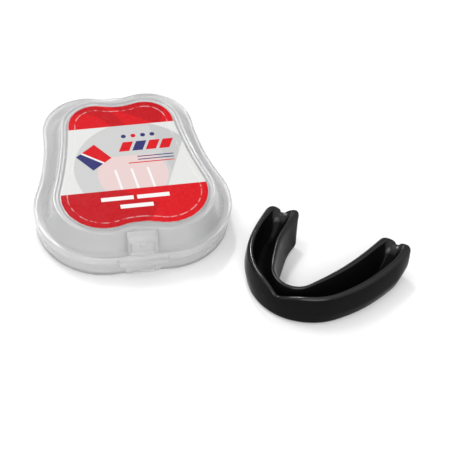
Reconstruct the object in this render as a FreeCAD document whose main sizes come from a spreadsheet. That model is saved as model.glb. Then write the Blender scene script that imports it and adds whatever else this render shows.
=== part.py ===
import FreeCAD, Part
import math
import os
import Sketcher
from FreeCAD import Placement, Rotation, Vector

# Boxing mouthguard with its hinged plastic case. Millimetres, +Z up. The origin is the centre of the
# case's flat underside, the latch faces -Y and the hinge is at the back, +Y. The mouthguard lies on
# the same plane to the front right of the closed case.

# Driving dimensions. The case's four-lobed outlines are drawn with arcs alone: two rear lobes and two
# front lobes, joined by concave waists. "flange" is the widest outline, "label" the printed panel's.
DIMENSIONS = {
    "flange_rear_x": 12.3, "flange_rear_y": 26.3, "flange_rear_radius": 18.5,
    "flange_front_x": 11.7, "flange_front_y": 15.8, "flange_front_radius": 27.7,
    "flange_rear_waist": 27.5, "flange_front_waist": 190.0, "flange_side_waist": 96.0,
    "label_rear_x": 10.0, "label_rear_y": 19.1, "label_rear_radius": 11.2,
    "label_front_x": 12.3, "label_front_y": 19.1, "label_front_radius": 16.7,
    "label_rear_waist": 22.5, "label_front_waist": 26.5, "label_side_waist": 184.0,
    # base tray
    "tray_height": 8.0, "tray_inset": 0.8, "tray_inner_inset": 2.3, "tray_floor": 1.4, "tray_round": 2.4,
    "spigot_inset": 1.5, "spigot_height": 2.0,
    # lid shell
    "lid_bottom": 8.15, "band_height": 3.35, "band_wall": 1.2,
    "shoulder_inset": 0.8, "dome_foot_grow": 6.0, "dome_foot_height": 13.5,
    "dome_top_grow": 3.4, "dome_top_height": 20.9,
    "cavity_low_inset": 2.1, "cavity_low_height": 10.3, "cavity_foot_grow": 4.6,
    "cavity_foot_height": 12.5, "cavity_top_grow": 2.0, "cavity_top_height": 19.5,
    "rim_outer_grow": 3.3, "rim_inner_grow": 1.9, "rim_height": 0.6,
    "panel_grow": 0.4, "panel_height": 0.45, "label_thickness": 0.2,
    # front latch
    "catch_half_width": 5.95, "catch_front": 42.7, "catch_bottom": 11.6, "catch_brow": 42.1,
    "catch_brow_level": 18.4, "catch_crown": 41.0, "catch_top": 19.9, "catch_root_top": 37.2,
    "catch_root_foot": 39.4, "catch_root_low": 40.9, "window_half_width": 4.7,
    "window_bottom": 10.2, "window_top": 17.2, "window_front": 41.3, "window_depth": 5.0,
    "tongue_half_width": 4.0, "tongue_front": 40.75, "tongue_thickness": 1.0,
    "tongue_bottom": 1.46, "tongue_top": 16.5, "bump_height": 0.35, "bump_size": 1.2,
    "bump_level": 14.4,
    "lip_half_width": 9.75, "lip_front": 45.6, "lip_bottom": 8.7, "lip_top": 11.2,
    "lip_root": 42.6, "lip_brow": 10.5, "lip_corner": 1.6,
    "ledge_top_half_width": 8.0, "ledge_low_half_width": 6.15, "ledge_bottom": 3.0,
    "ledge_top": 7.8, "ledge_front": 44.4, "ledge_back": 41.6, "ledge_round": 0.6,
    "ledge_window_half_width": 4.8, "ledge_window_bottom": 4.1, "ledge_window_top": 6.9,
    "window_recess": 0.35,
    # rear hinge
    "hinge_y": 45.2, "hinge_z": 7.4, "barrel_radius": 1.5, "barrel_half_width": 4.8,
    "pin_radius": 0.8, "pin_clearance": 0.05, "pin_half_length": 7.2,
    "ear_radius": 1.6, "ear_inner_x": 5.0, "ear_width": 2.4, "ear_root_y": 42.2, "ear_shelf": 7.9,
    "ear_web_bottom": 5.0, "notch_half_width": 8.8, "notch_front_y": 41.5, "notch_top": 10.25,
    "arm_root_y": 42.6, "arm_top": 11.2, "arm_brow_y": 43.9, "arm_reach": 1.06, "arm_heel": 1.4,
    "arm_clearance": 0.05,
    # mouthguard
    "guard_height": 13.6, "guard_front_radius": 23.0, "guard_front_centre": 7.2,
    "guard_arm_x": 56.0, "guard_arm_y": 21.5, "guard_right_tip": 20.6, "guard_left_tip": 11.0,
    "guard_inner_radius": 9.0, "guard_inner_front_centre": 12.4,
    "guard_inner_arm_x": 90.0, "guard_inner_arm_y": 28.0, "guard_tip_slope": 1.5,
    "rim_lean": 1.7, "bite_flare": -2.0, "guard_heel": 3.0, "guard_corner": 2.6, "guard_bottom_round": 1.8,
    "guard_outer_wall": 2.0, "guard_inner_wall": 1.9, "channel_depth": 9.6, "channel_end": 3.0,
    "end_dip": 2.4, "dip_run": -4.0,
    "frenum_depth": 3.4, "frenum_half_width": 5.2, "frenum_front": 31.2, "frenum_length": 5.2,
    "frenum_over": 0.2,
    "no_grow": 0.0,
    "guard_x": 67.8, "guard_y": -48.3, "guard_angle": 44.2,
}
FLANGE = "flange"
LABEL = "label"

doc = FreeCAD.newDocument("mouthguard_and_case")
sheet = doc.addObject("Spreadsheet::Sheet", "Dims")
for row, (alias, value) in enumerate(DIMENSIONS.items(), start=1):
    sheet.set("A%d" % row, alias)
    sheet.set("B%d" % row, "%g" % value)
    sheet.setAlias("B%d" % row, alias)
doc.recompute()


def dim(alias):
    """The value that the sheet holds under this alias."""
    return float(sheet.get(alias))


def bind(item, prop, expression):
    """Drive a property by an expression in which each sheet alias is written as D.alias."""
    item.setExpression(prop, expression.replace("D.", "Dims."))


def new_body(label):
    body = doc.addObject("PartDesign::Body", label)
    body.Label = label
    return body


def new_sketch(body, name, role="XY_Plane", level="0"):
    """A sketch on one of the body's origin planes, moved along that plane's normal by level."""
    plane = next(item for item in body.Origin.OriginFeatures if item.Role == role)
    sketch = body.newObject("Sketcher::SketchObject", name)
    sketch.AttachmentSupport = [(plane, "")]
    sketch.MapMode = "FlatFace"
    bind(sketch, "AttachmentOffset.Base.z", level)
    return sketch


def add_feature(body, kind, name, sketch, **lengths):
    """A sketch-based feature, with lengths bound to the sheet, that becomes the body's tip."""
    feature = body.newObject("PartDesign::" + kind, name)
    feature.Profile = sketch
    for prop, expression in lengths.items():
        bind(feature, prop, expression)
    return feature


def amount(expression):
    """The number that a sum such as 'D.lid_bottom + D.band_height' stands for."""
    total = 0.0
    for term in expression.replace("-", "+-").split("+"):
        word = term.replace("-", "").strip()
        if word:
            value = dim(word[2:]) if word.startswith("D.") else float(word)
            total += -value if "-" in term else value
    return total


def constrain(sketch, name, expression, kind, *where, flip=False):
    """A named dimension of a sketch, driven by the sheet; flip measures it the other way."""
    value = -amount(expression) if flip else amount(expression)
    index = sketch.addConstraint(Sketcher.Constraint(kind, *where, value))
    sketch.renameConstraint(index, name)
    bind(sketch, "Constraints." + name, "-(%s)" % expression if flip else expression)


def locate(sketch, name, point, x, y):
    """Hold a sketch point at the coordinates that two expressions give."""
    for axis, expression, line in (("X", x, -2), ("Y", y, -1)):
        value = amount(expression)
        if value == 0:
            sketch.addConstraint(Sketcher.Constraint("PointOnObject", *point, line))
        else:
            ends = (-1, 1) + point if value > 0 else point + (-1, 1)
            constrain(sketch, name + axis, expression, "Distance" + axis, *ends, flip=value < 0)


def draw_polygon(sketch, corners):
    """A closed polygon whose corners are pairs of expressions."""
    points = [Vector(amount(x), amount(y), 0) for x, y in corners]
    for index, point in enumerate(points):
        sketch.addGeometry(Part.LineSegment(point, points[(index + 1) % len(points)]), False)
    for index, (x, y) in enumerate(corners):
        after = (index + 1) % len(corners)
        sketch.addConstraint(Sketcher.Constraint("Coincident", index, 2, after, 1))
        locate(sketch, "corner%d" % index, (index, 1), x, y)


def draw_rectangle(sketch, left, right, low, high):
    draw_polygon(sketch, [(left, low), (right, low), (right, high), (left, high)])


def draw_circle(sketch, x, y, radius):
    centre = Vector(amount(x), amount(y), 0)
    index = sketch.addGeometry(Part.Circle(centre, Vector(0, 0, 1), amount(radius)), False)
    locate(sketch, "centre%d" % index, (index, 3), x, y)
    constrain(sketch, "radius%d" % index, radius, "Radius", index)


def edges_where(feature, test):
    """Names of the feature's edges that pass a test on their bounding boxes."""
    return ["Edge%d" % number for number, edge in enumerate(feature.Shape.Edges, start=1)
            if test(edge.BoundBox)]


def level_edges(feature, height):
    return edges_where(feature, lambda box: max(abs(box.ZMin - height), abs(box.ZMax - height)) < 0.01)


def round_edges(body, name, edges, radius):
    """Fillet edges of the body's tip."""
    doc.recompute()
    tip = body.Tip
    fillet = body.newObject("PartDesign::Fillet", name)
    fillet.Base = (tip, edges(tip))
    bind(fillet, "Radius", radius)
    doc.recompute()


def symmetric_pad(body, name, sketch, half_length):
    pad = add_feature(body, "Pad", name, sketch, Length="2 * D." + half_length)
    pad.SideType = "Symmetric"
    return pad


def moulded_on(label, block, shell):
    """A feature moulded onto a shell: the block less the shell's own wall, so the two meet."""
    doc.recompute()
    joined = doc.addObject("Part::Cut", label)
    joined.Label = label
    joined.Base = block
    joined.Tool = shell
    return joined


def lobe_and_waists(plan, grow):
    """Centres, radii and end angles of the eight arcs of one outline, grown outwards by grow."""
    value = {key: dim("%s_%s" % (plan, key)) for key in
             ("rear_x", "rear_y", "rear_radius", "front_x", "front_y", "front_radius",
              "rear_waist", "front_waist", "side_waist")}
    rear = Vector(value["rear_x"], value["rear_y"], 0)
    front = Vector(value["front_x"], -value["front_y"], 0)
    rear_gap = value["rear_waist"] + value["rear_radius"]
    front_gap = value["front_waist"] + value["front_radius"]
    rear_waist = Vector(0, rear.y + math.sqrt(rear_gap ** 2 - rear.x ** 2), 0)
    front_waist = Vector(0, front.y - math.sqrt(front_gap ** 2 - front.x ** 2), 0)
    span = rear - front
    to_front = value["side_waist"] + value["front_radius"]
    to_rear = value["side_waist"] + value["rear_radius"]
    along = (span.Length ** 2 + to_front ** 2 - to_rear ** 2) / (2 * span.Length)
    away = math.sqrt(to_front ** 2 - along ** 2)
    unit = span / span.Length
    side_waist = front + unit * along + Vector(unit.y, -unit.x, 0) * away

    def mirrored(point):
        return Vector(-point.x, point.y, 0)

    lobes = [(front, "front"), (rear, "rear"), (mirrored(rear), "rear"), (mirrored(front), "front")]
    waists = [(side_waist, "side"), (rear_waist, "rear"), (mirrored(side_waist), "side"),
              (front_waist, "front")]
    arcs = []
    for index in range(4):
        lobe, lobe_name = lobes[index]
        after, waist_name = waists[index]
        before = waists[index - 1][0]
        following = lobes[(index + 1) % 4][0]
        arcs.append((lobe, value[lobe_name + "_radius"] + grow, before - lobe, after - lobe))
        arcs.append((after, value[waist_name + "_waist"] - grow, following - after, lobe - after))
    return arcs


def grown(alias, grow, outwards=True):
    """The expression alias + grow, where grow is '', an alias, or '-' and an alias."""
    if not grow:
        return "D." + alias
    adds = outwards != grow.startswith("-")
    return "D.%s %s D.%s" % (alias, "+" if adds else "-", grow.lstrip("-"))


def draw_outline(sketch, plan, grow="", tag=""):
    """Draw one four-lobed outline: eight arcs, tangent end to end, driven by the sheet."""
    offset = amount(grown("no_grow", grow))
    first = sketch.GeometryCount
    for centre, radius, start, end in lobe_and_waists(plan, offset):
        start_angle = math.atan2(start.y, start.x)
        end_angle = math.atan2(end.y, end.x)
        if end_angle < start_angle:
            end_angle += 2 * math.pi
        circle = Part.Circle(centre, Vector(0, 0, 1), radius)
        sketch.addGeometry(Part.ArcOfCircle(circle, start_angle, end_angle), False)
    for index, (place, side) in enumerate((("front", "side"), ("rear", "rear"),
                                           ("rear", "side"), ("front", "front"))):
        lobe = first + 2 * index
        waist = lobe + 1
        next_lobe = first + (2 * index + 2) % 8
        sketch.addConstraint(Sketcher.Constraint("Tangent", lobe, 2, waist, 2))
        sketch.addConstraint(Sketcher.Constraint("Tangent", waist, 1, next_lobe, 1))
        key = "%s%s%d" % (tag, place, index)
        outward = (-1, 1, lobe, 3)
        inward = (lobe, 3, -1, 1)
        across = outward if index < 2 else inward
        along = outward if place == "rear" else inward
        constrain(sketch, key + "_x", "D.%s_%s_x" % (plan, place), "DistanceX", *across)
        constrain(sketch, key + "_y", "D.%s_%s_y" % (plan, place), "DistanceY", *along)
        constrain(sketch, key + "_r", grown("%s_%s_radius" % (plan, place), grow), "Radius", lobe)
        constrain(sketch, key + "_waist", grown("%s_%s_waist" % (plan, side), grow, False),
                  "Radius", waist)


def loft(body, kind, name, sketches):
    """A ruled loft through the sketches in turn."""
    feature = add_feature(body, kind, name, sketches[0])
    feature.Sections = sketches[1:]
    feature.Ruled = True


def outline_loft(body, kind, name, sections):
    """A loft through the case's outlines, given as (plan, grow, level)."""
    sketches = []
    for number, (plan, grow, level) in enumerate(sections):
        sketch = new_sketch(body, "%s_section%d" % (name, number), level=level)
        draw_outline(sketch, plan, grow)
        sketches.append(sketch)
    loft(body, kind, name, sketches)


def make_base_tray():
    """The lower shell: a dished tray with a spigot that the lid's band fits over."""
    body = new_body("base_tray")
    outline = new_sketch(body, "tray_outline")
    draw_outline(outline, FLANGE, "-tray_inset")
    add_feature(body, "Pad", "tray_block", outline, Length="D.tray_height")
    round_edges(body, "tray_edge", lambda tip: level_edges(tip, 0.0), "D.tray_round")
    well = new_sketch(body, "well_outline", level="D.tray_height")
    draw_outline(well, FLANGE, "-tray_inner_inset")
    add_feature(body, "Pocket", "well", well, Length="D.tray_height - D.tray_floor")
    spigot = new_sketch(body, "spigot_outline", level="D.tray_height")
    draw_outline(spigot, FLANGE, "-spigot_inset")
    draw_outline(spigot, FLANGE, "-tray_inner_inset", tag="inner_")
    add_feature(body, "Pad", "spigot", spigot, Length="D.spigot_height")
    return body


def make_thumb_ledge(tray):
    """The block below the latch: a tapering ledge with a shallow window in its face."""
    body = new_body("thumb_ledge_block")
    face = new_sketch(body, "ledge_face", "XZ_Plane", "D.ledge_back")
    draw_polygon(face, [("-D.ledge_low_half_width", "D.ledge_bottom"),
                        ("D.ledge_low_half_width", "D.ledge_bottom"),
                        ("D.ledge_top_half_width", "D.ledge_top"),
                        ("-D.ledge_top_half_width", "D.ledge_top")])
    add_feature(body, "Pad", "ledge_block", face, Length="D.ledge_front - D.ledge_back")
    front = -dim("ledge_front")

    def outer_edges(tip):
        return edges_where(tip, lambda box: max(abs(box.YMin - front), abs(box.YMax - front)) < 0.01)

    round_edges(body, "ledge_round", outer_edges, "D.ledge_round")
    window = new_sketch(body, "ledge_window", "XZ_Plane", "D.ledge_front")
    draw_rectangle(window, "-D.ledge_window_half_width", "D.ledge_window_half_width",
                   "D.ledge_window_bottom", "D.ledge_window_top")
    add_feature(body, "Pocket", "ledge_recess", window, Length="D.window_recess")
    return moulded_on("thumb_ledge", body, tray)


def make_hinge_ear(label, level, tray):
    """A hinge ear on the tray's back wall, bored for the lid's pin."""
    body = new_body(label + "_block")
    web = new_sketch(body, label + "_web", "YZ_Plane", level)
    draw_polygon(web, [("D.ear_root_y", "D.ear_web_bottom"), ("D.hinge_y", "D.hinge_z - D.ear_radius"),
                       ("D.hinge_y", "D.ear_shelf"), ("D.ear_root_y", "D.ear_shelf")])
    add_feature(body, "Pad", label + "_plate", web, Length="D.ear_width")
    disc = new_sketch(body, label + "_disc", "YZ_Plane", level)
    draw_circle(disc, "D.hinge_y", "D.hinge_z", "D.ear_radius")
    add_feature(body, "Pad", label + "_eye", disc, Length="D.ear_width")
    bore = new_sketch(body, label + "_bore", "YZ_Plane", level)
    draw_circle(bore, "D.hinge_y", "D.hinge_z", "D.pin_radius + D.pin_clearance")
    pocket = add_feature(body, "Pocket", label + "_hole", bore, Length="D.ear_width")
    pocket.Reversed = True
    return moulded_on(label, body, tray)


def make_latch_tongue():
    """The springy catch that stands inside the tray's front wall, with a snap bump near its top."""
    body = new_body("latch_tongue")
    side = new_sketch(body, "tongue_side", "YZ_Plane")
    front = "-D.tongue_front"
    back = "-D.tongue_front + D.tongue_thickness"
    draw_polygon(side, [(back, "D.tongue_bottom"), (back, "D.tongue_top"), (front, "D.tongue_top"),
                        (front, "D.bump_level + D.bump_size"),
                        ("-D.tongue_front - D.bump_height", "D.bump_level"),
                        (front, "D.bump_level - D.bump_size"), (front, "D.tongue_bottom")])
    symmetric_pad(body, "tongue_blade", side, "tongue_half_width")
    return body


def cut_window(body, name, back):
    """The slot through the lid's front wall where the tongue stands."""
    window = new_sketch(body, name, level="D.window_top")
    draw_rectangle(window, "-D.window_half_width", "D.window_half_width", "-D.window_front", back)
    add_feature(body, "Pocket", name + "_slot", window, Length="D.window_top - D.window_bottom")


def make_lid_shell():
    """The lid: an upright band, a sloping shoulder, a domed side, and a rimmed panel on top."""
    body = new_body("lid_shell")
    band = new_sketch(body, "band_outline", level="D.lid_bottom")
    draw_outline(band, FLANGE)
    add_feature(body, "Pad", "band", band, Length="D.band_height")
    outline_loft(body, "AdditiveLoft", "dome", [
        (FLANGE, "-shoulder_inset", "D.lid_bottom + D.band_height"),
        (LABEL, "dome_foot_grow", "D.dome_foot_height"),
        (LABEL, "dome_top_grow", "D.dome_top_height")])
    mouth = new_sketch(body, "mouth_outline", level="D.cavity_low_height")
    draw_outline(mouth, FLANGE, "-band_wall")
    add_feature(body, "Pocket", "mouth", mouth, Length="D.cavity_low_height - D.lid_bottom")
    outline_loft(body, "SubtractiveLoft", "cavity", [
        (FLANGE, "-cavity_low_inset", "D.cavity_low_height"),
        (LABEL, "cavity_foot_grow", "D.cavity_foot_height"),
        (LABEL, "cavity_top_grow", "D.cavity_top_height")])
    rim = new_sketch(body, "rim_outline", level="D.dome_top_height")
    draw_outline(rim, LABEL, "rim_outer_grow")
    draw_outline(rim, LABEL, "rim_inner_grow", tag="inner_")
    add_feature(body, "Pad", "rim", rim, Length="D.rim_height")
    panel = new_sketch(body, "panel_outline", level="D.dome_top_height")
    draw_outline(panel, LABEL, "panel_grow")
    add_feature(body, "Pad", "panel", panel, Length="D.panel_height")
    cut_window(body, "latch_window", "-D.window_front + D.window_depth")
    notch = new_sketch(body, "hinge_notch", level="D.notch_top")
    draw_rectangle(notch, "-D.notch_half_width", "D.notch_half_width", "D.notch_front_y",
                   "D.hinge_y + D.ear_radius")
    add_feature(body, "Pocket", "hinge_notch_cut", notch, Length="D.notch_top - D.lid_bottom")
    return body


def make_catch_panel(lid):
    """The flat-fronted box on the lid's front that covers the latch tongue."""
    body = new_body("catch_panel_block")
    side = new_sketch(body, "catch_side", "YZ_Plane")
    draw_polygon(side, [("-D.catch_front", "D.catch_bottom"), ("-D.catch_brow", "D.catch_brow_level"),
                        ("-D.catch_crown", "D.catch_top"), ("-D.catch_root_top", "D.catch_top"),
                        ("-D.catch_root_foot", "D.dome_foot_height"),
                        ("-D.catch_root_low", "D.catch_bottom")])
    symmetric_pad(body, "catch_block", side, "catch_half_width")
    cut_window(body, "catch_hollow", "-D.window_front + D.window_depth")
    return moulded_on("catch_panel", body, lid)


def make_lift_lip(lid):
    """The thumb lip that stands out from the lid's band at the front."""
    body = new_body("lift_lip_block")
    side = new_sketch(body, "lip_side", "YZ_Plane")
    draw_polygon(side, [("-D.lip_root", "D.lip_bottom"), ("-D.lip_front", "D.lip_bottom"),
                        ("-D.lip_front", "D.lip_brow"), ("-D.lip_root", "D.lip_top")])
    symmetric_pad(body, "lip_block", side, "lip_half_width")
    front = -dim("lip_front")
    width = dim("lip_half_width")

    def corner_edges(tip):
        return edges_where(tip, lambda box: abs(box.YMax - front) < 0.01 and box.XLength < 0.01
                           and abs(abs(box.XMin) - width) < 0.01)

    round_edges(body, "lip_corners", corner_edges, "D.lip_corner")
    return moulded_on("lift_lip", body, lid)


def make_hinge_barrel(lid):
    """The lid's knuckle: a barrel with a pin stub at each end, on an arm from the lid's band."""
    body = new_body("hinge_barrel_block")
    for name, radius, half_length in (("barrel", "D.barrel_radius", "barrel_half_width"),
                                      ("pin", "D.pin_radius", "pin_half_length")):
        disc = new_sketch(body, name + "_section", "YZ_Plane")
        draw_circle(disc, "D.hinge_y", "D.hinge_z", radius)
        symmetric_pad(body, name, disc, half_length)
    arm = new_sketch(body, "arm_side", "YZ_Plane")
    draw_polygon(arm, [("D.arm_root_y", "D.notch_top + D.arm_clearance"),
                       ("D.arm_root_y", "D.arm_top"), ("D.arm_brow_y", "D.arm_top"),
                       ("D.hinge_y + D.arm_reach", "D.hinge_z + D.arm_reach"),
                       ("D.hinge_y", "D.hinge_z"), ("D.hinge_y - D.arm_heel", "D.hinge_z")])
    symmetric_pad(body, "arm", arm, "barrel_half_width")
    return moulded_on("hinge_barrel", body, lid)


def make_label():
    """The printed panel stuck on the lid."""
    body = new_body("label")
    outline = new_sketch(body, "label_outline", level="D.dome_top_height + D.panel_height")
    draw_outline(outline, LABEL)
    add_feature(body, "Pad", "label_sheet", outline, Length="D.label_thickness")
    return body


def arc_between(centre, radius, start, end):
    """An arc drawn anticlockwise from the start angle to the end angle, in radians."""
    circle = Part.Circle(centre, Vector(0, 0, 1), radius)
    return Part.ArcOfCircle(circle, start, end)


def draw_guard_wall(sketch, wall, radius, front, drops):
    """One wall of the mouthguard's plan: a front arc and an arm's arc each side, tangent to it.

    front is the y of the front arc's centre, drops are what comes off the height of each arm's
    tip, and the ends of the arms are returned.
    """
    key = {"outer": "guard_", "inner": "guard_inner_"}[wall]
    front_centre = Vector(0, amount(front), 0)
    arm_centre = Vector(-dim(key + "arm_x"), dim(key + "arm_y"), 0)
    apart = front_centre - arm_centre
    arm_radius = apart.Length + amount(radius)
    turn = math.atan2(apart.y, apart.x)
    tips = {side: "D.guard_%s_tip%s" % (side, drops) for side in ("right", "left")}
    ends = {side: math.asin((amount(tip) - arm_centre.y) / arm_radius) for side, tip in tips.items()}
    bow = sketch.addGeometry(
        arc_between(front_centre, amount(radius), math.pi - turn, 2 * math.pi + turn), False)
    right = sketch.addGeometry(arc_between(arm_centre, arm_radius, turn, ends["right"]), False)
    left_centre = Vector(-arm_centre.x, arm_centre.y, 0)
    left = sketch.addGeometry(
        arc_between(left_centre, arm_radius, math.pi - ends["left"], math.pi - turn), False)
    sketch.addConstraint(Sketcher.Constraint("Tangent", bow, 2, right, 1))
    sketch.addConstraint(Sketcher.Constraint("Tangent", left, 2, bow, 1))
    locate(sketch, wall + "_front", (bow, 3), "0", front)
    locate(sketch, wall + "_right", (right, 3), "-D.%sarm_x" % key, "D.%sarm_y" % key)
    locate(sketch, wall + "_left", (left, 3), "D.%sarm_x" % key, "D.%sarm_y" % key)
    constrain(sketch, wall + "_radius", radius, "Radius", bow)
    constrain(sketch, wall + "_right_tip", tips["right"], "DistanceY", -1, 1, right, 2)
    constrain(sketch, wall + "_left_tip", tips["left"], "DistanceY", -1, 1, left, 1)
    return (right, 2), (left, 1)


def draw_guard(sketch, lean, outer_inset, inner_inset, tip_back):
    """The mouthguard's U-shaped plan, or the channel's inside it: six arcs and two end lines.

    lean draws the front of both walls together, as they are along the rims.
    """
    outer_ends = draw_guard_wall(
        sketch, "outer", "D.guard_front_radius - " + outer_inset,
        "D.%s - D.guard_front_centre" % lean, " - " + tip_back)
    inner_ends = draw_guard_wall(
        sketch, "inner", "D.guard_inner_radius + " + inner_inset,
        "-D.%s - D.guard_inner_front_centre" % lean, " - D.guard_tip_slope - " + tip_back)
    for outer, inner in zip(outer_ends, inner_ends):
        line = sketch.addGeometry(
            Part.LineSegment(sketch.getPoint(*outer), sketch.getPoint(*inner)), False)
        sketch.addConstraint(Sketcher.Constraint("Coincident", *outer, line, 1))
        sketch.addConstraint(Sketcher.Constraint("Coincident", *inner, line, 2))


def make_mouthguard():
    """The upper-jaw mouthguard, lying on its bite side: a U with a channel along its top."""
    body = new_body("mouthguard")
    bite_plan = new_sketch(body, "bite_plan")
    draw_guard(bite_plan, "no_grow", "D.no_grow", "D.bite_flare", "D.no_grow")
    heel_plan = new_sketch(body, "heel_plan", level="D.guard_heel")
    draw_guard(heel_plan, "no_grow", "D.no_grow", "D.bite_flare", "D.no_grow")
    rim_plan = new_sketch(body, "rim_plan", level="D.guard_height")
    draw_guard(rim_plan, "rim_lean", "D.no_grow", "D.no_grow", "D.no_grow")
    add_feature(body, "Pad", "bite_block", bite_plan, Length="D.guard_heel")
    loft(body, "AdditiveLoft", "rim_block", [heel_plan, rim_plan])
    lowest_tip = dim("guard_left_tip") - dim("guard_tip_slope") - 1

    def tip_edges(feature):
        return edges_where(feature, lambda box: box.ZLength > 1 and box.YMin > lowest_tip)

    round_edges(body, "tip_corners", tip_edges, "D.guard_corner")
    round_edges(body, "bottom_round", lambda feature: level_edges(feature, 0.0),
                "D.guard_bottom_round")
    for name, back, depth in (("channel", "D.channel_end", "D.channel_depth"),
                              ("end_dip", "D.dip_run", "D.end_dip")):
        trough = new_sketch(body, name + "_plan", level="D.guard_height")
        draw_guard(trough, "rim_lean", "D.guard_outer_wall", "D.guard_inner_wall", back)
        add_feature(body, "Pocket", name, trough, Length=depth)
    notch = new_sketch(body, "frenum_notch", "XZ_Plane", "D.frenum_front")
    draw_polygon(notch, [("-D.frenum_half_width", "D.guard_height + D.frenum_over"),
                         ("D.frenum_half_width", "D.guard_height + D.frenum_over"),
                         ("0", "D.guard_height - D.frenum_depth")])
    add_feature(body, "Pocket", "frenum_cut", notch, Length="D.frenum_length")
    bind(body, "Placement.Base.x", "D.guard_x")
    bind(body, "Placement.Base.y", "D.guard_y")
    body.Placement.Rotation = Rotation(Vector(0, 0, 1), -dim("guard_angle"))
    return body


def make_parts():
    tray = make_base_tray()
    lid = make_lid_shell()
    return [
        tray, make_thumb_ledge(tray),
        make_hinge_ear("hinge_ear_right", "D.ear_inner_x", tray),
        make_hinge_ear("hinge_ear_left", "-D.ear_inner_x - D.ear_width", tray),
        make_latch_tongue(),
        lid, make_catch_panel(lid), make_lift_lip(lid), make_hinge_barrel(lid),
        make_label(), make_mouthguard(),
    ]


def check(parts):
    """Stop if any object failed, or a part's shape is missing or not valid."""
    for item in doc.Objects:
        if {"Invalid", "Error"} & set(item.State):
            raise RuntimeError("%s failed: %s" % (item.Label, item.State))
    for part in parts:
        if part.Shape.isNull() or not part.Shape.isValid():
            raise RuntimeError(part.Label + " has no valid shape")


parts = make_parts()
doc.recompute()
check(parts)
os.makedirs("parts", exist_ok=True)
for part in parts:
    part.Shape.exportStep(os.path.join("parts", part.Label + ".step"))
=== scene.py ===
import math

import bmesh
import bpy
import numpy as np
from mathutils import Matrix, Vector


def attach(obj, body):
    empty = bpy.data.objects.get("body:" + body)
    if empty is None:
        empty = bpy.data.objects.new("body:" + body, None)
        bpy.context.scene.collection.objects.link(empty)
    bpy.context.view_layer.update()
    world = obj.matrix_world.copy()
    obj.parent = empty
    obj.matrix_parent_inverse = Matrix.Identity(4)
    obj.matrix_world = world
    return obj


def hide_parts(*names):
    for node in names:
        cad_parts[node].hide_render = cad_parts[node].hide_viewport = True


# Mouthguard with its hinged case. Lengths are written in millimetres and turned into metres when
# a mesh is made. The row frame has +Z up, the latch towards -Y and the hinge towards +Y.
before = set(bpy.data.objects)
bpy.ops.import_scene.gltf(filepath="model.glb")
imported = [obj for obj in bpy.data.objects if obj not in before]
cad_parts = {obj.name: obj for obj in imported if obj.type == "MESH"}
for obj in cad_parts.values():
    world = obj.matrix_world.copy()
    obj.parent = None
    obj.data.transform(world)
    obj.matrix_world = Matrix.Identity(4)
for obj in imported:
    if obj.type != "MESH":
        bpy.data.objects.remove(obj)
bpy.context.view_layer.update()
MM = 0.001

# ---------------------------------------------------------------- outlines of the case
# Each four-lobed outline: lobe centres and radii, then the radii of the concave waists.
FLANGE = {"rear": (12.3, 26.3, 18.5), "front": (11.7, -15.8, 27.7), "waists": (190.0, 96.0, 27.5)}
LABEL = {"rear": (10.0, 19.1, 11.2), "front": (12.3, -19.1, 16.7), "waists": (26.5, 184.0, 22.5)}
LOBE_STEPS = 26
WAIST_STEPS = 14


def unit(v):
    return v / np.linalg.norm(v)


def sweep(centre, radius, start, end, steps):
    """Points of an arc from one direction to another, turning the short way."""
    a = math.atan2(start[1], start[0])
    turn = (math.atan2(end[1], end[0]) - a + math.pi) % (2 * math.pi) - math.pi
    angles = a + turn * np.linspace(0, 1, steps)
    return np.column_stack([centre[0] + radius * np.cos(angles), centre[1] + radius * np.sin(angles)])


def outline(plan, grow=0.0):
    """A closed outline, counter-clockwise from the front's middle, moved outwards by grow."""
    rear = np.array(plan["rear"][:2])
    front = np.array(plan["front"][:2])
    rear_r = plan["rear"][2]
    front_r = plan["front"][2]
    front_w, side_w, rear_w = plan["waists"]
    front_waist = np.array([0, front[1] - math.sqrt((front_w + front_r) ** 2 - front[0] ** 2)])
    rear_waist = np.array([0, rear[1] + math.sqrt((rear_w + rear_r) ** 2 - rear[0] ** 2)])
    span = rear - front
    length = np.linalg.norm(span)
    along = (length ** 2 + (side_w + front_r) ** 2 - (side_w + rear_r) ** 2) / (2 * length)
    away = math.sqrt((side_w + front_r) ** 2 - along ** 2)
    u = span / length
    side_waist = front + u * along + np.array([u[1], -u[0]]) * away
    half = np.vstack([
        sweep(front_waist, front_w - grow, (0, 1), front - front_waist, WAIST_STEPS)[:-1],
        sweep(front, front_r + grow, front_waist - front, side_waist - front, LOBE_STEPS)[:-1],
        sweep(side_waist, side_w - grow, front - side_waist, rear - side_waist, 2 * WAIST_STEPS)[:-1],
        sweep(rear, rear_r + grow, side_waist - rear, rear_waist - rear, LOBE_STEPS)[:-1],
        sweep(rear_waist, rear_w - grow, rear - rear_waist, (0, -1), WAIST_STEPS)])
    mirrored = half[1:-1][::-1] * (-1, 1)
    return np.vstack([half, mirrored])


def ring(mix, grow, z):
    """One ring of a case shell: the flange's outline at mix 0, the label's at mix 1."""
    flat = (1 - mix) * outline(FLANGE, grow) + mix * outline(LABEL, grow)
    return np.column_stack([flat, np.full(len(flat), z)])


CORNER_STEPS = 5
PROFILE_SCALE = np.array([6.0, 1.0, 1.0])  # a whole step of mix counts as 6 mm of a profile's length


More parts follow.
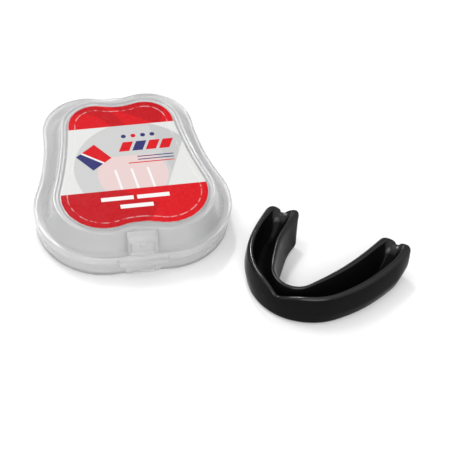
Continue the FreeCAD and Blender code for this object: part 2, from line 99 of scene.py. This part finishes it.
def rounded(corners):
    """A profile of (mix, grow, z, radius) corners with each corner eased over its radius."""
    points = []
    for i, corner in enumerate(corners):
        here = np.array(corner[:3], float)
        radius = corner[3]
        if radius == 0 or i in (0, len(corners) - 1):
            points.append(here)
            continue
        ends = []
        for other in (corners[i - 1], corners[i + 1]):
            step = np.array(other[:3], float) - here
            reach = min(radius / max(np.linalg.norm(step * PROFILE_SCALE), 1e-6), 0.48)
            ends.append(here + step * reach)
        for t in np.linspace(0, 1, CORNER_STEPS):
            points.append((1 - t) ** 2 * ends[0] + 2 * t * (1 - t) * here + t ** 2 * ends[1])
    return points


# ---------------------------------------------------------------- meshes
def clean(mesh):
    """Merge doubled points, drop faces without area, and turn the normals outwards."""
    bm = bmesh.new()
    bm.from_mesh(mesh)
    bmesh.ops.remove_doubles(bm, verts=bm.verts, dist=1e-7)
    bmesh.ops.dissolve_degenerate(bm, edges=bm.edges, dist=1e-8)
    bmesh.ops.recalc_face_normals(bm, faces=bm.faces)
    bm.to_mesh(mesh)
    bm.free()


def dress(obj, body, material, nodes, smooth=40):
    """Smooth shading up to an angle, a material, and the piece's place in the assembly."""
    mesh = obj.data
    mesh.materials.clear()
    mesh.materials.append(material)
    mesh.shade_smooth()
    mesh.set_sharp_from_angle(angle=math.radians(smooth))
    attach(obj, body)
    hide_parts(*nodes)


def stack(rings):
    """Vertices and faces of rings joined in turn, with a fan to a middle point at both ends."""
    count = len(rings[0])
    vertices = np.vstack(rings)
    faces = []
    for k in range(len(rings) - 1):
        for i in range(count):
            j = (i + 1) % count
            faces.append((k * count + i, k * count + j, (k + 1) * count + j, (k + 1) * count + i))
    for k, flip in ((0, True), (len(rings) - 1, False)):
        middle = len(vertices)
        vertices = np.vstack([vertices, rings[k].mean(0)])
        for i in range(count):
            tri = (k * count + i, k * count + (i + 1) % count, middle)
            faces.append(tri[::-1] if flip else tri)
    return vertices, faces


def shell(profile):
    return stack([ring(*point) for point in profile])


def apply_modifiers(obj):
    """Put the mesh that an object's modifiers give in place of its own."""
    graph = bpy.context.evaluated_depsgraph_get()
    mesh = bpy.data.meshes.new_from_object(obj.evaluated_get(graph))
    obj.modifiers.clear()
    old = obj.data
    obj.data = mesh
    bpy.data.meshes.remove(old)


def boolean(obj, kind, *others):
    """Apply a boolean with each other object in turn, and remove them."""
    for other in others:
        modifier = obj.modifiers.new("cut", "BOOLEAN")
        modifier.operation = kind
        modifier.solver = "EXACT"
        modifier.object = other
        apply_modifiers(obj)
        bpy.data.objects.remove(other)


def bare(name, vertices, faces):
    """An object with a cleaned mesh and no material, from points in millimetres."""
    mesh = bpy.data.meshes.new(name)
    mesh.from_pydata([tuple(np.asarray(v, float) * MM) for v in vertices], [], faces)
    obj = bpy.data.objects.new(name, mesh)
    bpy.context.scene.collection.objects.link(obj)
    clean(mesh)
    return obj


BOX_FACES = [(0, 2, 3, 1), (4, 5, 7, 6), (0, 1, 5, 4), (2, 6, 7, 3), (0, 4, 6, 2), (1, 3, 7, 5)]


def block(name, x, y, z):
    """A box between two x, two y and two z levels, in millimetres."""
    corners = [(x[i], y[j], z[k]) for k in (0, 1) for j in (0, 1) for i in (0, 1)]
    return bare(name, corners, BOX_FACES)


def prism(name, side, half_width):
    """A solid with a (y, z) side profile, from -half_width to +half_width in x."""
    count = len(side)
    vertices = [(x, y, z) for x in (-half_width, half_width) for y, z in side]
    faces = [tuple(range(count)), tuple(range(count, 2 * count))[::-1]]
    for i in range(count):
        j = (i + 1) % count
        faces.append((i, i + count, j + count, j))
    return bare(name, vertices, faces)


BEVEL_ANGLE = math.radians(30)


def bevel(obj, width, segments=3):
    """Apply a bevel to the edges sharper than BEVEL_ANGLE."""
    modifier = obj.modifiers.new("bevel", "BEVEL")
    modifier.width = width * MM
    modifier.segments = segments
    modifier.limit_method = "ANGLE"
    modifier.angle_limit = BEVEL_ANGLE
    apply_modifiers(obj)


# ---------------------------------------------------------------- materials
class Nodes:
    """A small builder for shader node trees."""

    def __init__(self, name):
        self.material = bpy.data.materials.new(name)
        self.material.use_nodes = True
        self.tree = self.material.node_tree
        self.tree.nodes.clear()
        self.output = self.tree.nodes.new("ShaderNodeOutputMaterial")
        coordinates = self.tree.nodes.new("ShaderNodeTexCoord").outputs
        self.place = coordinates["Object"]
        self.facing = coordinates["Normal"]

    def put(self, socket, value):
        if isinstance(value, bpy.types.NodeSocket):
            self.tree.links.new(value, socket)
        else:
            socket.default_value = value

    def node(self, kind, **inputs):
        made = self.tree.nodes.new(kind)
        for key, value in inputs.items():
            self.put(made.inputs[key.replace("_", " ")], value)
        return made.outputs[0]

    def math(self, operation, a, b=0.0, clamp=False):
        made = self.tree.nodes.new("ShaderNodeMath")
        made.operation = operation
        made.use_clamp = clamp
        self.put(made.inputs[0], a)
        self.put(made.inputs[1], b)
        return made.outputs[0]

    def noise(self, scale, detail=3.0, rough=0.5):
        return self.node("ShaderNodeTexNoise", Vector=self.place, Scale=scale, Detail=detail,
                         Roughness=rough)

    def spread(self, value, low, high, start=0.0, stop=1.0):
        """Map a value from low..high to start..stop."""
        return self.node("ShaderNodeMapRange", Value=value, From_Min=low, From_Max=high,
                         To_Min=start, To_Max=stop)

    def part_of(self, vector, index):
        split = self.tree.nodes.new("ShaderNodeSeparateXYZ")
        self.put(split.inputs[0], vector)
        return split.outputs[index]

    def axis(self, index):
        """One coordinate of the piece, in millimetres."""
        return self.math("MULTIPLY", self.part_of(self.place, index), 1000.0)

    def mix(self, factor, a, b):
        made = self.tree.nodes.new("ShaderNodeMix")
        made.data_type = "RGBA"
        self.put(made.inputs[0], factor)
        self.put(made.inputs[6], a)
        self.put(made.inputs[7], b)
        return made.outputs[2]

    def bump(self, height, strength, distance, normal=None):
        made = self.tree.nodes.new("ShaderNodeBump")
        self.put(made.inputs["Strength"], strength)
        self.put(made.inputs["Distance"], distance)
        self.put(made.inputs["Height"], height)
        if normal is not None:
            self.put(made.inputs["Normal"], normal)
        return made.outputs[0]

    def finish(self, **inputs):
        shader = self.tree.nodes.new("ShaderNodeBsdfPrincipled")
        for key, value in inputs.items():
            self.put(shader.inputs[key.replace("_", " ")], value)
        self.tree.links.new(shader.outputs[0], self.output.inputs[0])
        return self.material


def frosted(name, tint, clear):
    """Milky polypropylene: light soaks through it; a satin face with fine moulding texture and wear."""
    n = Nodes(name)
    cloud = n.noise(70.0, 2.0)
    grain = n.noise(1700.0, 2.0)
    rubbed = n.noise(240.0, 4.0)
    shade = tuple(c * 0.93 for c in tint[:3]) + (1,)
    colour = n.mix(n.spread(cloud, 0.3, 0.7), tint, shade)
    satin = n.spread(cloud, 0.3, 0.7, 0.19, 0.22)
    rough = n.math("ADD", satin, n.spread(rubbed, 0.3, 0.75, 0.0, 0.035))
    relief = n.bump(grain, 0.1, 0.00006, n.bump(cloud, 0.12, 0.0004))
    return n.finish(Base_Color=colour, Roughness=rough, Normal=relief, Transmission_Weight=clear,
                    IOR=1.4, Specular_IOR_Level=0.8)


RIM_LEVELS = (9.4, 10.6)


def eva(name):
    """Glossy black moulded EVA: a faint flow texture, small scuffs, and rims polished by use."""
    n = Nodes(name)
    flow = n.noise(120.0, 3.0)
    fine = n.noise(1500.0, 3.0)
    scuff = n.spread(n.noise(600.0, 7.0, 0.75), 0.62, 0.78)
    colour = n.mix(scuff, (0.004, 0.004, 0.0043, 1), (0.012, 0.012, 0.0125, 1))
    rough = n.math("ADD", n.spread(flow, 0.3, 0.7, 0.15, 0.19), n.math("MULTIPLY", scuff, 0.05))
    relief = n.bump(fine, 0.01, 0.00001, n.bump(flow, 0.1, 0.0004))
    upward = n.spread(n.part_of(n.facing, 2), 0.35, 0.85)
    rim = n.math("MULTIPLY", n.spread(n.axis(2), *RIM_LEVELS), upward)
    polished = n.spread(rim, 0.0, 1.0, 0.05, 0.6)
    return n.finish(Base_Color=colour, Roughness=rough, Normal=relief, IOR=1.45,
                    Specular_IOR_Level=polished)


REAR_STRIPE_EDGE = 17.84
FRONT_STRIPE_EDGE = -16.74
CREASE_LEVEL = 21.53
EDGE = 0.08


def printed(name):
    """The card panel: two red stripes with facets and bars, and a pale middle with plain shapes."""
    n = Nodes(name)
    x = n.axis(0)
    y = n.axis(1)

    def above(value, level):
        return n.spread(value, level - EDGE, level + EDGE)

    def both(*masks):
        total = masks[0]
        for mask in masks[1:]:
            total = n.math("MULTIPLY", total, mask)
        return total

    def slant(a, b):
        return n.math("ADD", n.math("MULTIPLY", x, a), n.math("MULTIPLY", y, b))

    def under(value, level, soft=EDGE):
        return n.spread(value, level - soft, level + soft, 1.0, 0.0)

    def disc(cx, cy, r):
        dx = n.math("SUBTRACT", x, cx)
        dy = n.math("SUBTRACT", y, cy)
        square = n.math("ADD", n.math("MULTIPLY", dx, dx), n.math("MULTIPLY", dy, dy))
        return under(n.math("SQRT", square), r)

    red = (0.52, 0.006, 0.011, 1)
    deep = (0.41, 0.005, 0.010, 1)
    pale = (0.58, 0.585, 0.57, 1)
    grey = (0.46, 0.465, 0.46, 1)
    slate = (0.42, 0.425, 0.42, 1)
    blush = (0.60, 0.47, 0.46, 1)
    navy = (0.030, 0.030, 0.13, 1)
    white = (0.68, 0.68, 0.67, 1)
    backdrop = disc(3.0, -6.0, 25.0)
    middle = n.mix(backdrop, pale, grey)
    middle = n.mix(both(backdrop, above(slant(0.93, 0.2), 13.5)), middle, slate)
    middle = n.mix(above(slant(0.93, -0.37), 19.0), middle, pale)
    middle = n.mix(both(disc(1.0, -9.0, 14.0), under(y, 1.0)), middle, blush)
    for left in (-7.0, -0.5, 6.0):
        stroke = both(above(slant(1.0, 0.12), left), under(slant(1.0, 0.12), left + 0.9), under(y, -6.0))
        middle = n.mix(stroke, middle, white)
    diamond = both(under(slant(0.8, 0.6), -4.6), above(slant(0.8, 0.6), -14.6),
                   under(slant(-0.6, 0.8), 14.4), above(slant(-0.6, 0.8), 4.4))
    middle = n.mix(diamond, middle, n.mix(above(slant(0.6, 0.8), -7.2), navy, red))
    seam = both(diamond, above(slant(0.6, 0.8), -7.6), under(slant(0.6, 0.8), -6.8))
    middle = n.mix(seam, middle, white)
    for left, tone in ((-4.6, red), (0.8, navy), (6.2, red), (11.6, red)):
        chip = both(above(slant(1.0, -0.45), left), under(slant(1.0, -0.45), left + 4.2),
                    above(y, 3.6), under(y, 8.6))
        middle = n.mix(chip, middle, tone)
    for across, tone in ((0.0, navy), (3.9, red), (7.8, navy), (11.6, navy)):
        middle = n.mix(disc(across, 11.8, 1.0), middle, tone)
    for level, left, right, tone in ((0.2, 4.0, 18.5, navy), (-1.4, 4.0, 18.5, navy),
                                     (-3.0, 0.0, 18.5, red)):
        rule = both(above(x, left), under(x, right), above(y, level - 0.25), under(y, level + 0.25))
        middle = n.mix(rule, middle, tone)
    facet = both(disc(-17.0, 13.0, 19.0), under(disc(-17.0, 13.0, 13.5), 0.5, 0.1))
    stripes = n.mix(facet, red, deep)
    stripes = n.mix(both(above(slant(0.55, 0.83), 22.0), under(slant(0.9, -0.3), 9.0)), stripes, deep)
    stripes = n.mix(both(above(slant(-0.8, 0.5), -20.0), under(slant(0.5, 0.8), -16.0)), stripes, deep)
    for level, left, right in ((-21.2, -13.5, -0.7), (-21.2, 0.7, 13.5), (-25.6, -6.5, 6.5)):
        bar = both(above(x, left), under(x, right), above(y, level - 1.0), under(y, level + 1.0))
        stripes = n.mix(bar, stripes, white)
    in_stripe = n.math("ADD", above(y, REAR_STRIPE_EDGE), under(y, FRONT_STRIPE_EDGE), True)
    paint = n.mix(in_stripe, middle, stripes)
    speck = n.spread(n.noise(900.0, 4.0), 0.35, 0.7)
    paint = n.mix(n.math("MULTIPLY", speck, 0.012), paint, white)
    broken = n.spread(n.noise(420.0, 2.0), 0.44, 0.56, 0.03, 0.35)
    paint = n.mix(n.math("MULTIPLY", under(n.axis(2), CREASE_LEVEL, 0.012), broken), paint, white)
    relief = n.bump(n.noise(1800.0, 3.0), 0.05, 0.00008, n.bump(n.noise(60.0, 2.0), 0.12, 0.0008))
    rough = n.spread(n.noise(300.0, 4.0), 0.3, 0.7, 0.31, 0.4)
    return n.finish(Base_Color=paint, Roughness=rough, Normal=relief, IOR=1.45,
                    Specular_IOR_Level=0.03)


LID_MATERIAL = frosted("frosted_lid_look", (0.925, 0.925, 0.93, 1), 0.7)
BASE_MATERIAL = frosted("frosted_base_look", (0.92, 0.92, 0.925, 1), 0.7)
EVA_MATERIAL = eva("black_eva_look")
LABEL_MATERIAL = printed("label_print_look")

# ---------------------------------------------------------------- lid
def cad_copy(node):
    """A loose copy of a CAD node's mesh, to be merged into a moulding."""
    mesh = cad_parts[node].data.copy()
    obj = bpy.data.objects.new(node + "_copy", mesh)
    bpy.context.scene.collection.objects.link(obj)
    clean(mesh)
    return obj


LID_PROFILE = rounded([
    (1, -9.0, 21.32, 0), (1, -0.1, 21.32, 0), (1, 0.4, 21.32, 0.35), (1, 0.85, 20.75, 0.5),
    (1, 1.9, 20.75, 0.4), (1, 2.15, 21.5, 0.3), (1, 3.2, 21.5, 0.5), (1, 4.3, 18.4, 1.2),
    (1, 5.6, 14.2, 1.6), (0.55, 2.4, 12.35, 1.2), (0, -1.1, 11.75, 0.8), (0, -0.55, 11.95, 0.3),
    (0, -0.05, 11.75, 0.35), (0, 0.12, 10.6, 0.6), (0, 0.0, 8.5, 0.5), (0, -0.3, 8.15, 0.25),
    (0, -1.2, 8.15, 0.1), (0, -1.2, 10.3, 0.2), (0, -2.1, 10.5, 0.4), (1, 4.4, 12.6, 1.0),
    (1, 2.0, 19.5, 0.8), (1, -9.0, 19.5, 0)])
HALF_PANEL = 5.95
HALF_LIP = 9.75
HALF_TONGUE = 4.0
panel = prism("panel_block", [(-42.7, 11.7), (-42.55, 13.0), (-42.25, 17.2), (-41.6, 19.0),
                              (-40.2, 20.3), (-38.4, 20.7), (-37.6, 20.3), (-39.4, 13.5),
                              (-40.9, 11.7)], HALF_PANEL)
bevel(panel, 0.3)
boolean(panel, "DIFFERENCE", prism("panel_face", [(-43.5, 12.7), (-42.25, 12.9), (-41.95, 17.2),
                                                  (-41.55, 18.1), (-43.5, 18.3)], 4.5))
details = [prism("panel_bar", [(-42.95, 11.75), (-42.95, 12.35), (-42.6, 12.7), (-41.0, 12.7),
                               (-41.0, 11.75)], 4.9)]
for level in (15.8, 16.9):
    details.append(prism("panel_dash", [(-42.42, level - 0.28), (-42.42, level + 0.28),
                                        (-41.5, level + 0.4), (-41.5, level - 0.4)], 1.3))
for detail in details:
    bevel(detail, 0.12, 2)
boolean(panel, "UNION", *details)
lip = prism("lip_block", [(-42.3, 8.7), (-45.6, 8.7), (-45.75, 9.6), (-45.5, 10.5), (-44.4, 10.95),
                          (-42.3, 11.3)], HALF_LIP)
bevel(lip, 0.45, 4)
lid = bare("case_lid", *shell(LID_PROFILE))
boolean(lid, "DIFFERENCE", block("hinge_gap", (-8.8, 8.8), (41.5, 50.0), (5.0, 10.25)))
boolean(lid, "UNION", panel, lip, cad_copy("hinge_barrel"))
boolean(lid, "DIFFERENCE", block("latch_slot", (-4.7, 4.7), (-41.3, -36.3), (10.2, 17.2)))
dress(lid, "lid", LID_MATERIAL, ["lid_shell", "catch_panel", "lift_lip", "hinge_barrel"])

# ---------------------------------------------------------------- base tray
TRAY_PROFILE = rounded([
    (0, -16.0, 0.0, 0), (0, -4.6, 0.0, 0), (0, -4.2, 0.25, 0.4), (0, -3.4, 0.25, 0.3),
    (0, -0.9, 0.6, 2.2), (0, -0.75, 7.6, 0.6), (0, -1.05, 8.0, 0.2), (0, -1.5, 8.0, 0.1),
    (0, -1.5, 9.8, 0.15), (0, -1.75, 10.0, 0.15), (0, -2.3, 10.0, 0.2), (0, -2.4, 2.0, 1.4),
    (0, -4.4, 1.4, 1.2), (0, -16.0, 1.4, 0)])
tray = bare("case_tray", *shell(TRAY_PROFILE))
LEDGE_LEVELS = ((3.0, 6.15), (7.9, 8.0))  # height and half width
ledge = bare("ledge_block", [(x * half, y, z) for z, half in LEDGE_LEVELS
                             for y in (-44.45, -42.2) for x in (-1, 1)], BOX_FACES)
bevel(ledge, 0.5, 4)
hollow = block("ledge_window", (-4.9, 4.9), (-46.0, -44.1), (4.1, 6.9))
bevel(hollow, 0.3)
boolean(ledge, "DIFFERENCE", hollow)
boolean(tray, "UNION", ledge, cad_copy("hinge_ear_left"), cad_copy("hinge_ear_right"))
dress(tray, "case_base", BASE_MATERIAL,
      ["base_tray", "thumb_ledge", "hinge_ear_left", "hinge_ear_right"])

# ---------------------------------------------------------------- label
label = bare("lid_label", *shell(rounded([
    (1, -9.0, 21.35, 0), (1, -0.03, 21.35, 0.03), (1, 0.0, 21.42, 0.05), (1, -0.06, 21.55, 0.05),
    (1, -2.3, 21.55, 0.2), (1, -2.6, 21.47, 0.2), (1, -2.9, 21.55, 0.2), (1, -9.0, 21.55, 0)])))
dress(label, "lid", LABEL_MATERIAL, ["label"])

# ---------------------------------------------------------------- latch tongue
tongue = prism("tongue_blade", [(-39.75, 1.3), (-39.75, 16.1), (-39.95, 16.5), (-40.5, 16.5),
                                (-40.75, 16.2), (-40.75, 15.6), (-41.1, 14.55), (-41.1, 14.25),
                                (-40.75, 13.2), (-40.75, 1.3)], HALF_TONGUE)
bevel(tongue, 0.18)
tongue.name = "case_latch_tongue"
dress(tongue, "latch", BASE_MATERIAL, ["latch_tongue"])

# ---------------------------------------------------------------- mouthguard
HEIGHT = 13.6
LEAN = 1.7
FLOOR = 4.0
OUTER = {"front": 7.2, "radius": 23.0, "arm": (56.0, 21.5), "lean": LEAN}
INNER = {"front": 12.4, "radius": 9.0, "arm": (90.0, 28.0), "lean": -LEAN}
LABIAL_TIPS = {1: 22.4, -1: 7.2}
LINGUAL_TIPS = {1: 20.2, -1: 11.6}
GUARD_PLACE = (67.8, -48.3, 44.2)


WALL_STEPS = 4000


def wall(key, lean, tips):
    """One wall's plan from the left tip round the front to the right tip, evenly spaced."""
    centre = np.array([0.0, key["lean"] * lean - key["front"]])
    halves = []
    for side in (-1, 1):
        arm = np.array([-key["arm"][0], key["arm"][1]])
        apart = centre - arm
        reach = np.linalg.norm(apart) + key["radius"]
        turn = math.atan2(apart[1], apart[0])
        end = math.asin((tips[side] - arm[1]) / reach)
        bow = sweep(centre, key["radius"], (0, -1), apart, WALL_STEPS)
        run = sweep(arm, reach, apart, (math.cos(end), math.sin(end)), WALL_STEPS)
        halves.append(np.vstack([bow[:-1], run]) * (side, 1))
    return np.vstack([halves[0][::-1], halves[1][1:]])


def even(points, stations):
    """Resample a path: stations run from 0 to 1 on each side of the front's middle."""
    steps = np.linalg.norm(np.diff(points, axis=0), axis=1)
    run = np.concatenate([[0], np.cumsum(steps)])
    front = np.argmin(points[:, 1])
    where = np.where(stations < 0, run[front] * (1 + stations),
                     run[front] + (run[-1] - run[front]) * stations)
    return np.column_stack([np.interp(where, run, points[:, k]) for k in (0, 1)])


def ease(t):
    """A smooth step from 0 at t = 0 to 1 at t = 1."""
    t = np.clip(t, 0, 1)
    return t * t * (3 - 2 * t)


ARM_LENGTHS = {1: 44.0, -1: 36.0}
END_STEPS = (0, 0.03, 0.12, 0.28, 0.5, 0.8, 1.15, 1.55, 2.0, 2.6, 3.4, 4.4, 5.6, 7.0)
TIP_CORNER = 2.1
CREST = 0.95
SPREAD = 1.4
BITE_FLARE = 2.5
NOTCH_DEPTH = 3.4
NOTCH_HALF_WIDTH = 3.2
RIM_LOSS = 1.3
FOOT_LOSS = 1.2
BOTTOM_ROUND = 1.8
CURL = 2.2
FOOT = 2.2
RECEDE = {1: (4.6, 1.2), -1: (9.0, 0.85)}  # how far the bite side is drawn back at a tip, and its power


def guard_sections():
    """Closed cross-sections along the arch, from the left tip to the right tip."""
    steps = np.array(END_STEPS)
    left = -1 + steps / ARM_LENGTHS[-1]
    right = 1 - steps[::-1] / ARM_LENGTHS[1]
    stations = np.concatenate([left, np.linspace(left[-1], right[0], 150)[1:-1], right])
    bite_out = even(wall(OUTER, 0, LABIAL_TIPS), stations)
    rim_out = even(wall(OUTER, 1, LABIAL_TIPS), stations)
    bite_in = even(wall(INNER, 0, LINGUAL_TIPS), stations)
    rim_in = even(wall(INNER, 1, LINGUAL_TIPS), stations)
    middle = (bite_out + bite_in) / 2
    return [section(s, bite_out[k], bite_in[k], rim_out[k], rim_in[k],
                    unit(middle[k] - middle[k - 1] if s > 0 else middle[k] - middle[k + 1]))
            for k, s in enumerate(stations)]


def section(station, bite_out, bite_in, rim_out, rim_in, ahead):
    """One closed loop: up the outer wall, over the rim, through the channel, and back below."""
    arm_side = 1 if station > 0 else -1
    tip = (1 - abs(station)) * ARM_LENGTHS[arm_side]
    drop = 1 - math.sqrt(max(1 - max(1 - tip / TIP_CORNER, 0) ** 2, 0))
    arm = ease((abs(station) - 0.12) / 0.5)
    near = ease(1 - tip / 8.0)
    crest = CREST + 0.3 * arm + 0.3 * near
    fade = 1 - 0.7 * near
    low = np.linalg.norm(bite_in - bite_out)
    top = np.linalg.norm(rim_in - rim_out)
    low_dir = (bite_in - bite_out) / low
    top_dir = (rim_in - rim_out) / top
    notch = NOTCH_DEPTH * math.exp(-abs(station * ARM_LENGTHS[-1] / NOTCH_HALF_WIDTH) ** 1.4)
    labial = HEIGHT - notch - RIM_LOSS * drop
    lingual = HEIGHT - 0.6 * ease((0.35 - abs(station)) / 0.3) - RIM_LOSS * drop
    bed = FLOOR + 2.5 * (1 - arm) + (HEIGHT - 1.5 - FLOOR) * ease(1 - tip / 9.5) - FOOT_LOSS * drop
    recede, fall = RECEDE[arm_side]
    bottom = FOOT_LOSS * drop + recede * 0.42 * max(1 - tip / 10.0, 0) ** 2

    flared = BITE_FLARE * (0.4 + 0.6 * ease(tip / 9.0) if station < 0 else ease(tip / 14.0))
    curl = CURL * ease(1 - tip / 17.0) if station < 0 else 0.0
    foot = FOOT * arm * ease(tip / 9.0) if station > 0 else 0.0

    def up(z):
        """How far up the wall a height is, from 0 at the bite side to 1 at the rim."""
        return min(max(z / HEIGHT, 0), 1)

    def at(z, low_depth, top_depth):
        share = z / HEIGHT
        low_depth += curl
        top_depth += curl
        back = recede * max(1 - share, 0) ** fall * max(1 - tip / 12.0, 0) ** 2
        xy = (bite_out + low_dir * low_depth) * (1 - share) + (rim_out + top_dir * top_depth) * share
        return (*(xy - ahead * back), z)

    def swell(z):
        share = up(z)
        return 0.5 * math.sin(math.pi * share) + SPREAD * arm * ease(share * 2.2) + foot * (1 - share)

    def flare(z):
        return flared * (1 - up(z)) ** 1.2

    def corner(z):
        return drop * (TIP_CORNER + 2.4 * (1 - up(z)))

    def outer(z, inset):
        depth = inset + corner(z) - swell(z)
        return at(z, depth, depth)

    def inner(z, inset):
        depth = inset + corner(z) - flare(z)
        return at(z, low - depth, top - depth)

    def across(share, z):
        """A point of the channel: share runs from the labial crest at 0 to the lingual one at 1."""
        edge = corner(z) + 2 * crest
        first = edge - swell(z)
        return at(z, first + (low - edge - first) * share, first + (top - edge - first) * share)

    quarter = np.linspace(0, math.pi / 2, 6)
    foot_round = [(bottom + BOTTOM_ROUND * (1 - math.sin(a)), BOTTOM_ROUND * (1 - math.cos(a)))
                  for a in quarter]
    loop = [outer(*point) for point in foot_round[::-1]]
    loop += [outer(z, 0.0) for z in np.linspace(bottom + 2.6, labial - 1.6, 9)]
    half_turn = np.linspace(0, math.pi, 10)
    sides = [fade if a > math.pi / 2 else 1.0 for a in half_turn]
    loop += [outer(labial - crest * k * (1 - math.sin(a)), crest * (1 - math.cos(a)))
             for a, k in zip(half_turn, sides)]
    for side, crest_z, power in ((-1, labial - crest * fade, 3.2 - 1.2 * near),
                                 (1, lingual - crest * fade, 2.5 - 0.5 * near)):
        shares = np.linspace(0.97, 0.0, 12) if side < 0 else np.linspace(0.08, 0.97, 12)
        for u in shares:
            fold = 0.45 * math.exp(-((u - 0.52) / 0.1) ** 2) if side > 0 else 0.0
            z = bed + (crest_z - bed) * u ** power + fold * ease((tip - 4.0) / 14.0)
            loop.append(across(0.5 + 0.5 * side * u, z))
    loop += [inner(lingual - crest * k * (1 - math.sin(a)), crest * (1 - math.cos(a)))
             for a, k in zip(half_turn[::-1], sides[::-1])]
    loop += [inner(z, 0.0) for z in np.linspace(lingual - 1.6, bottom + 2.6, 9)]
    loop += [inner(*point) for point in foot_round]
    return np.array(loop)


def make_guard():
    sections = guard_sections()
    vertices, faces = stack(sections)
    x, y, angle = GUARD_PLACE
    place = Matrix.Translation((x, y, 0)) @ Matrix.Rotation(-math.radians(angle), 4, "Z")
    moved = [np.array(place @ Vector(v)) for v in vertices]
    return bare("mouthguard_body", moved, faces)


guard = make_guard()
dress(guard, "guard", EVA_MATERIAL, ["mouthguard"], 60)


# ---------------------------------------------------------------- floor, light and camera
def floor_material():
    n = Nodes("floor_look")
    tone = n.spread(n.noise(3.0, 2.0), 0.3, 0.7, 0.86, 0.88)
    return n.finish(Base_Color=n.mix(tone, (0.9, 0.9, 0.9, 1), (0.92, 0.92, 0.92, 1)), Roughness=0.9,
                    Specular_IOR_Level=0.1)


LIGHT_AIM = Vector((0.03, -0.02, 0.0))


def area(name, where, size, power):
    """A round lamp, in metres and watts, turned towards LIGHT_AIM."""
    data = bpy.data.lights.new(name, "AREA")
    data.shape = "DISK"
    data.size = size
    data.energy = power
    lamp = bpy.data.objects.new(name, data)
    lamp.location = where
    lamp.rotation_euler = (LIGHT_AIM - Vector(where)).to_track_quat("-Z", "Y").to_euler()
    bpy.context.scene.collection.objects.link(lamp)


FLOOR_REACH = 4.0


def make_floor():
    """A wide pale square under the object."""
    corners = [(x * FLOOR_REACH, y * FLOOR_REACH, 0) for x, y in ((-1, -1), (1, -1), (1, 1), (-1, 1))]
    mesh = bpy.data.meshes.new("floor")
    mesh.from_pydata(corners, [], [(0, 1, 2, 3)])
    mesh.materials.append(floor_material())
    floor = bpy.data.objects.new("floor", mesh)
    bpy.context.scene.collection.objects.link(floor)


def make_world():
    """White light from all round, stronger from the front than from the back."""
    world = bpy.data.worlds.new("studio")
    world.use_nodes = True
    sky = world.node_tree
    split = sky.nodes.new("ShaderNodeSeparateXYZ")
    sky.links.new(sky.nodes.new("ShaderNodeTexCoord").outputs["Generated"], split.inputs[0])
    shade = sky.nodes.new("ShaderNodeMapRange")
    sky.links.new(split.outputs[1], shade.inputs["Value"])
    for key, value in (("From Min", -0.2), ("From Max", 0.7), ("To Min", 0.82), ("To Max", 0.36)):
        shade.inputs[key].default_value = value
    sky.nodes["Background"].inputs[0].default_value = (1, 1, 1, 1)
    sky.links.new(shade.outputs[0], sky.nodes["Background"].inputs[1])
    return world


CAMERA_AIM = Vector((36.65, -21.72, 0)) * MM
CAMERA_SIDE = Vector((-0.1556, -0.6441, 0.7490)).normalized()
CAMERA_DISTANCE = 0.8032
CAMERA_ROLL = math.radians(4.5)


def make_camera():
    data = bpy.data.cameras.new("camera")
    data.lens = 160
    data.sensor_width = 36
    data.clip_end = 20
    camera = bpy.data.objects.new("camera", data)
    bpy.context.scene.collection.objects.link(camera)
    where = Matrix.Translation(CAMERA_AIM + CAMERA_SIDE * CAMERA_DISTANCE)
    turn = (-CAMERA_SIDE).to_track_quat("-Z", "Y").to_matrix().to_4x4()
    camera.matrix_world = where @ turn @ Matrix.Rotation(CAMERA_ROLL, 4, "Z")
    return camera


make_floor()
area("key_light", (-0.42, 0.46, 1.15), 0.5, 4.2)
area("fill_light", (-0.1, -1.2, 0.7), 1.1, 10.0)
area("top_light", (0.0, 0.2, 1.7), 1.5, 3.0)
area("glint_light", (0.0, 0.8, 1.0), 0.16, 4.5)
scene = bpy.context.scene
scene.world = make_world()
scene.view_settings.view_transform = "Standard"
scene.camera = make_camera()
